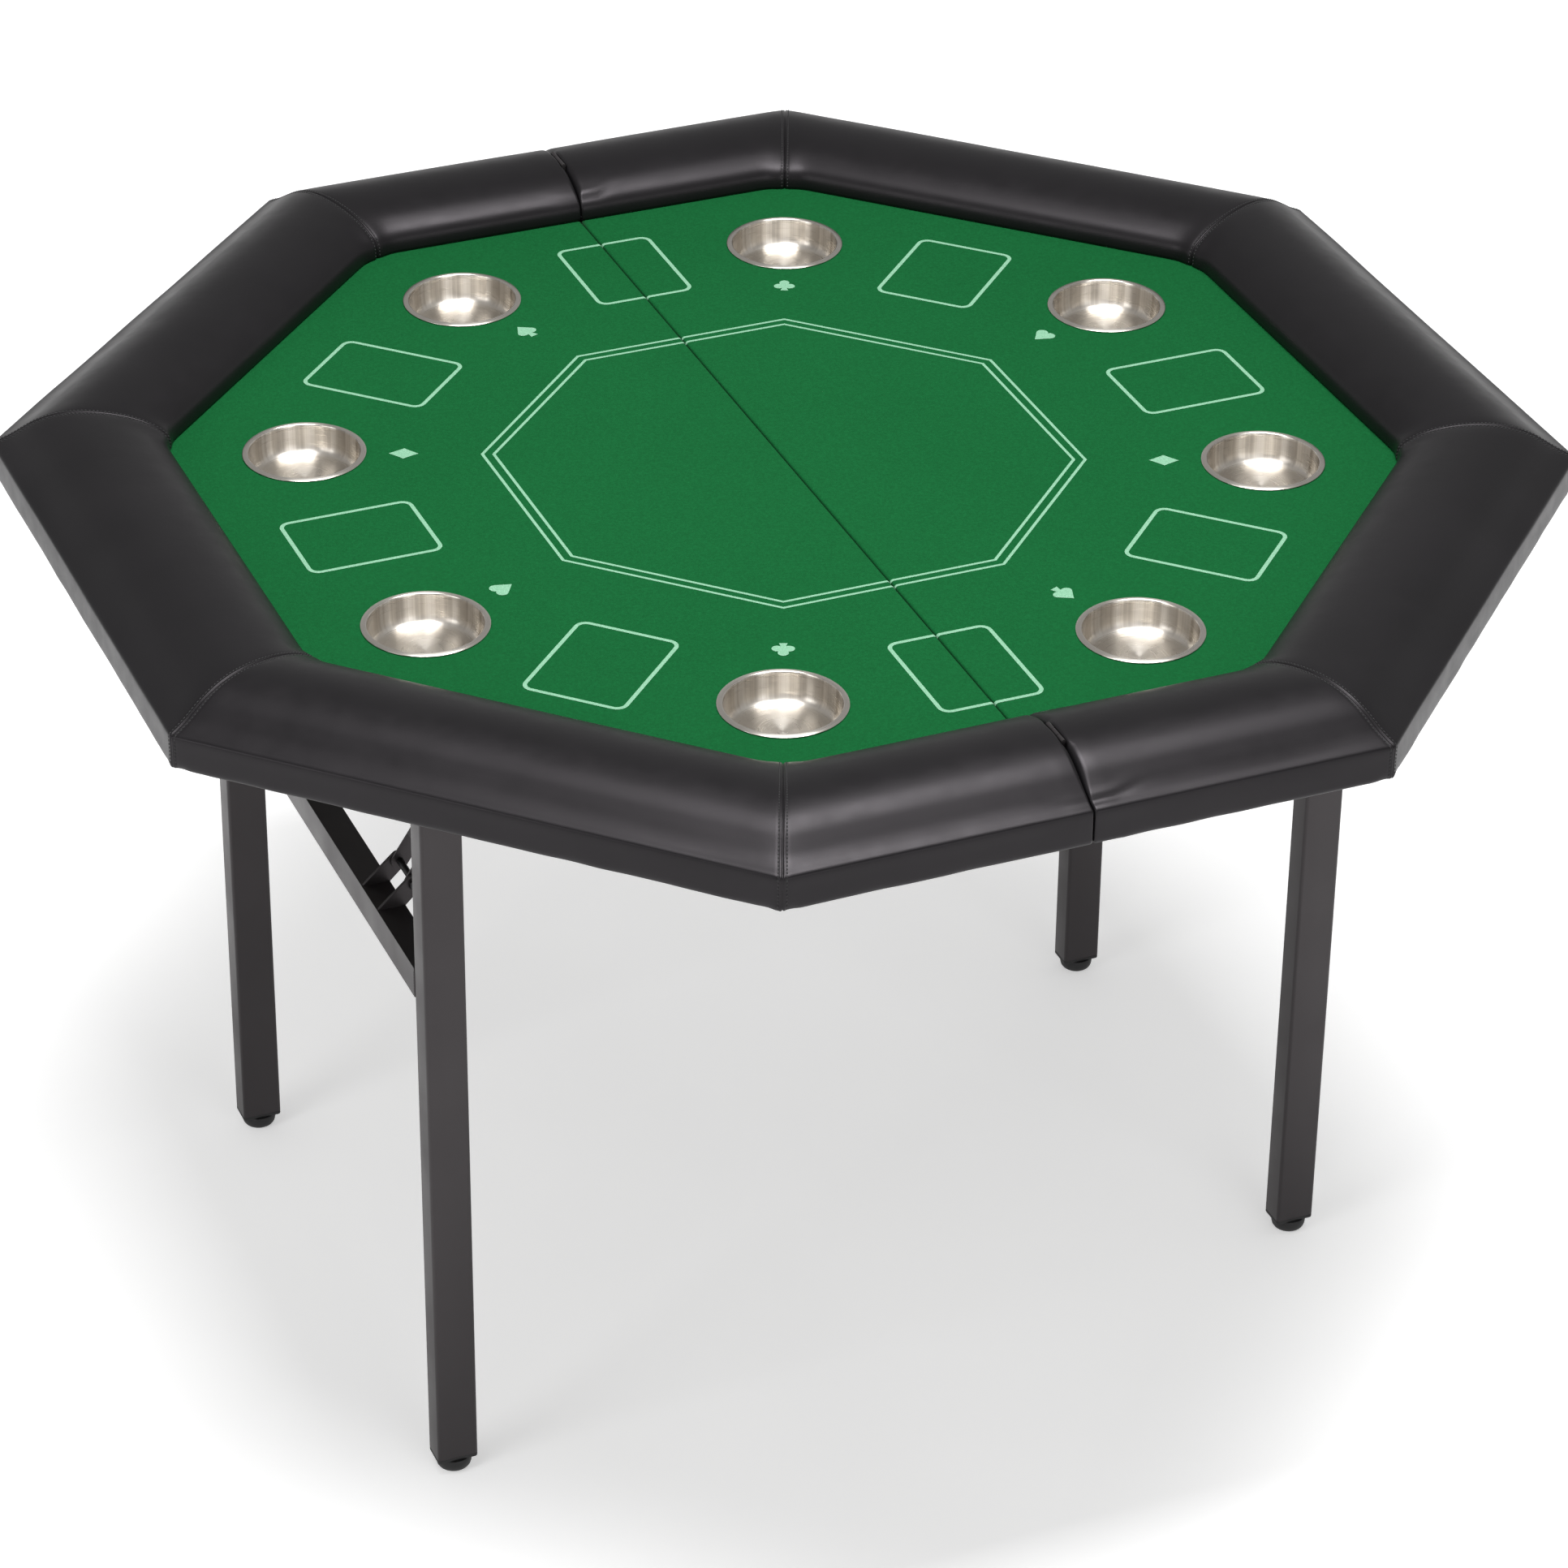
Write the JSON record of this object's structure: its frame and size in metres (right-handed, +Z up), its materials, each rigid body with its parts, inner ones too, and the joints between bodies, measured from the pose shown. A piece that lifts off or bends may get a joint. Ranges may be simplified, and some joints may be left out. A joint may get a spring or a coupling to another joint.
{
  "type": "folding octagonal card table",
  "caption": "Octagonal card table with padded rail, felt top in two halves and inset drink cups, on leg frames that fold flat.",
  "frame": {"origin": "on the floor under the middle of the table top", "axes": "+Z up, Y along the centre seam, X across it, towards the right half"},
  "size_m": [1.206, 1.206, 0.7784],
  "materials": {
    "board": "matte",
    "felt": "matte",
    "rail_vinyl": "satin",
    "stainless": "satin",
    "painted_steel": "satin",
    "black_plastic": "matte",
    "zinc_steel": "satin"
  },
  "bodies": {
    "left_half": {"left_board": "board", "left_felt": "felt", "left_rail_front_end": "rail_vinyl", "left_rail_front_corner": "rail_vinyl", "left_rail_side": "rail_vinyl", "left_rail_back_corner": "rail_vinyl", "left_rail_back_end": "rail_vinyl", "left_cup_front": "stainless", "left_cup_front_side": "stainless", "left_cup_back_side": "stainless", "left_cup_back": "stainless", "left_front_leg_bracket": "painted_steel", "left_front_leg_bolt": "zinc_steel", "left_front_stay_keeper": "painted_steel", "left_back_leg_bracket": "painted_steel", "left_back_leg_bolt": "zinc_steel", "left_back_stay_keeper": "painted_steel", "front_hinge_left_leaf": "zinc_steel", "front_hinge_pin": "zinc_steel", "back_hinge_left_leaf": "zinc_steel", "back_hinge_pin": "zinc_steel", "seam_catch": "black_plastic"},
    "left_leg_frame": {"left_front_leg": "painted_steel", "left_front_foot_glide": "black_plastic", "left_front_stay_bolt": "zinc_steel", "left_back_leg": "painted_steel", "left_back_foot_glide": "black_plastic", "left_back_stay_bolt": "zinc_steel", "left_cross_bar": "painted_steel"},
    "left_front_stay": {"left_front_stay": "painted_steel"},
    "left_back_stay": {"left_back_stay": "painted_steel"},
    "right_half": {"right_board": "board", "right_felt": "felt", "right_rail_front_end": "rail_vinyl", "right_rail_front_corner": "rail_vinyl", "right_rail_side": "rail_vinyl", "right_rail_back_corner": "rail_vinyl", "right_rail_back_end": "rail_vinyl", "right_cup_front": "stainless", "right_cup_front_side": "stainless", "right_cup_back_side": "stainless", "right_cup_back": "stainless", "right_front_leg_bracket": "painted_steel", "right_front_leg_bolt": "zinc_steel", "right_front_stay_keeper": "painted_steel", "right_back_leg_bracket": "painted_steel", "right_back_leg_bolt": "zinc_steel", "right_back_stay_keeper": "painted_steel", "front_hinge_right_leaf": "zinc_steel", "back_hinge_right_leaf": "zinc_steel", "seam_catch_strike": "zinc_steel"},
    "right_leg_frame": {"right_front_leg": "painted_steel", "right_front_foot_glide": "black_plastic", "right_front_stay_bolt": "zinc_steel", "right_back_leg": "painted_steel", "right_back_foot_glide": "black_plastic", "right_back_stay_bolt": "zinc_steel", "right_cross_bar": "painted_steel"},
    "right_front_stay": {"right_front_stay": "painted_steel"},
    "right_back_stay": {"right_back_stay": "painted_steel"}
  },
  "joints": [
    {"name": "top_fold", "type": "hinge", "parent": "left_half", "child": "right_half", "pos_m": [0, 0, 0.7764], "axis": [0, -1, 0], "range_deg": [0, 180]},
    {"name": "left_leg_fold", "type": "hinge", "parent": "left_half", "child": "left_leg_frame", "pos_m": [-0.4, 0, 0.697], "axis": [0, -1, 0], "range_deg": [0, 90]},
    {"name": "left_front_stay_fold", "type": "hinge", "parent": "left_leg_frame", "child": "left_front_stay", "pos_m": [-0.385, 0, 0.512], "axis": [0, 1, 0], "range_deg": [0, 146.5]},
    {"name": "left_back_stay_fold", "type": "hinge", "parent": "left_leg_frame", "child": "left_back_stay", "pos_m": [-0.385, 0, 0.512], "axis": [0, 1, 0], "range_deg": [0, 146.5]},
    {"name": "right_leg_fold", "type": "hinge", "parent": "right_half", "child": "right_leg_frame", "pos_m": [0.4, 0, 0.66], "axis": [0, 1, 0], "range_deg": [0, 90]},
    {"name": "right_front_stay_fold", "type": "hinge", "parent": "right_leg_frame", "child": "right_front_stay", "pos_m": [0.385, 0, 0.512], "axis": [0, -1, 0], "range_deg": [0, 146.5]},
    {"name": "right_back_stay_fold", "type": "hinge", "parent": "right_leg_frame", "child": "right_back_stay", "pos_m": [0.385, 0, 0.512], "axis": [0, -1, 0], "range_deg": [0, 146.5]}
  ],
  "couplings": [
    {"joint": "left_front_stay_fold", "follows": "left_leg_fold", "ratio": 1.6277},
    {"joint": "left_back_stay_fold", "follows": "left_leg_fold", "ratio": 1.6277},
    {"joint": "right_front_stay_fold", "follows": "right_leg_fold", "ratio": 1.6277},
    {"joint": "right_back_stay_fold", "follows": "right_leg_fold", "ratio": 1.6277}
  ]
}
